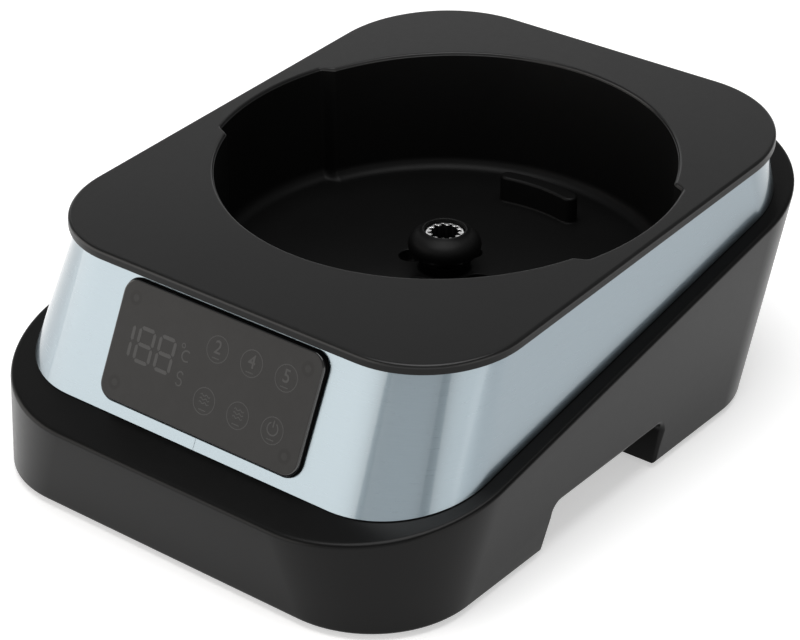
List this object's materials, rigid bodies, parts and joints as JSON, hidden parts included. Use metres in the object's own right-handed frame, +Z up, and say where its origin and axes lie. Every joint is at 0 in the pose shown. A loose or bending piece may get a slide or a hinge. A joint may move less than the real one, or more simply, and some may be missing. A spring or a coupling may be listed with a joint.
{
  "type": "powered kitchen appliance base",
  "caption": "Low wedge-shaped powered base with a round well, a splined drive coupling in its floor, a steel band with a touch panel and hand-holds in both sides.",
  "frame": {"origin": "centre of the bounding box's underside, where the feet stand", "axes": "+X to the right of a person at the control panel, +Y towards the back, +Z up"},
  "size_m": [0.1944, 0.2584, 0.0944],
  "materials": {
    "black_base": "satin moulded black plastic",
    "deck_plastic": "fine matte texture",
    "brushed_steel": "satin sheet with a fine brushed grain",
    "bright_steel": "bright machined steel",
    "smoked_acrylic": "smoked translucent panel with faint printed keys",
    "black_rubber": "soft satin rubber",
    "circuit_board": "green laminate",
    "grey_plastic": "glass-filled moulding",
    "steel_laminate": "stacked electrical steel",
    "ferrite": "sintered dark grey",
    "copper_wire": "enamelled copper wire"
  },
  "bodies": {
    "base": {"base_shell": "black_base", "bottom_cover": "black_base", "steel_band": "brushed_steel", "band_frame": "black_base", "top_housing": "deck_plastic", "panel_housing": "black_base", "panel_lens": "smoked_acrylic", "display_board": "circuit_board", "digit_display": "grey_plastic", "motor_bracket": "grey_plastic", "lower_bearing": "bright_steel", "upper_bearing": "bright_steel", "shaft_seal": "black_rubber", "stator_core": "steel_laminate", "power_board": "circuit_board", "filter_capacitor": "ferrite", "board_transformer": "grey_plastic", "power_relay": "black_base", "mains_inlet": "black_base", "touch_spring_1": "bright_steel", "stator_coil_1": "copper_wire", "touch_spring_2": "bright_steel", "stator_coil_2": "copper_wire", "touch_spring_3": "bright_steel", "stator_coil_3": "copper_wire", "touch_spring_4": "bright_steel", "stator_coil_4": "copper_wire", "touch_spring_5": "bright_steel", "stator_coil_5": "copper_wire", "touch_spring_6": "bright_steel", "stator_coil_6": "copper_wire", "panel_screw_1": "bright_steel", "motor_screw_1": "bright_steel", "cover_screw_1": "bright_steel", "foot_1": "black_rubber", "panel_screw_2": "bright_steel", "motor_screw_2": "bright_steel", "cover_screw_2": "bright_steel", "foot_2": "black_rubber", "panel_screw_3": "bright_steel", "motor_screw_3": "bright_steel", "cover_screw_3": "bright_steel", "foot_3": "black_rubber", "panel_screw_4": "bright_steel", "motor_screw_4": "bright_steel", "cover_screw_4": "bright_steel", "foot_4": "black_rubber", "inlet_pin_1": "bright_steel", "inlet_pin_2": "bright_steel", "inlet_pin_3": "bright_steel"},
    "spindle": {"shaft": "bright_steel", "rotor_bell": "steel_laminate", "magnet_ring": "ferrite", "fan_wheel": "grey_plastic", "spline_socket": "bright_steel", "coupling_boot": "black_rubber"}
  },
  "joints": [
    {"name": "spindle_spin", "type": "hinge", "parent": "base", "child": "spindle", "pos_m": [0, 0.0194, 0.05], "axis": [0, 0, 1], "continuous": true}
  ]
}
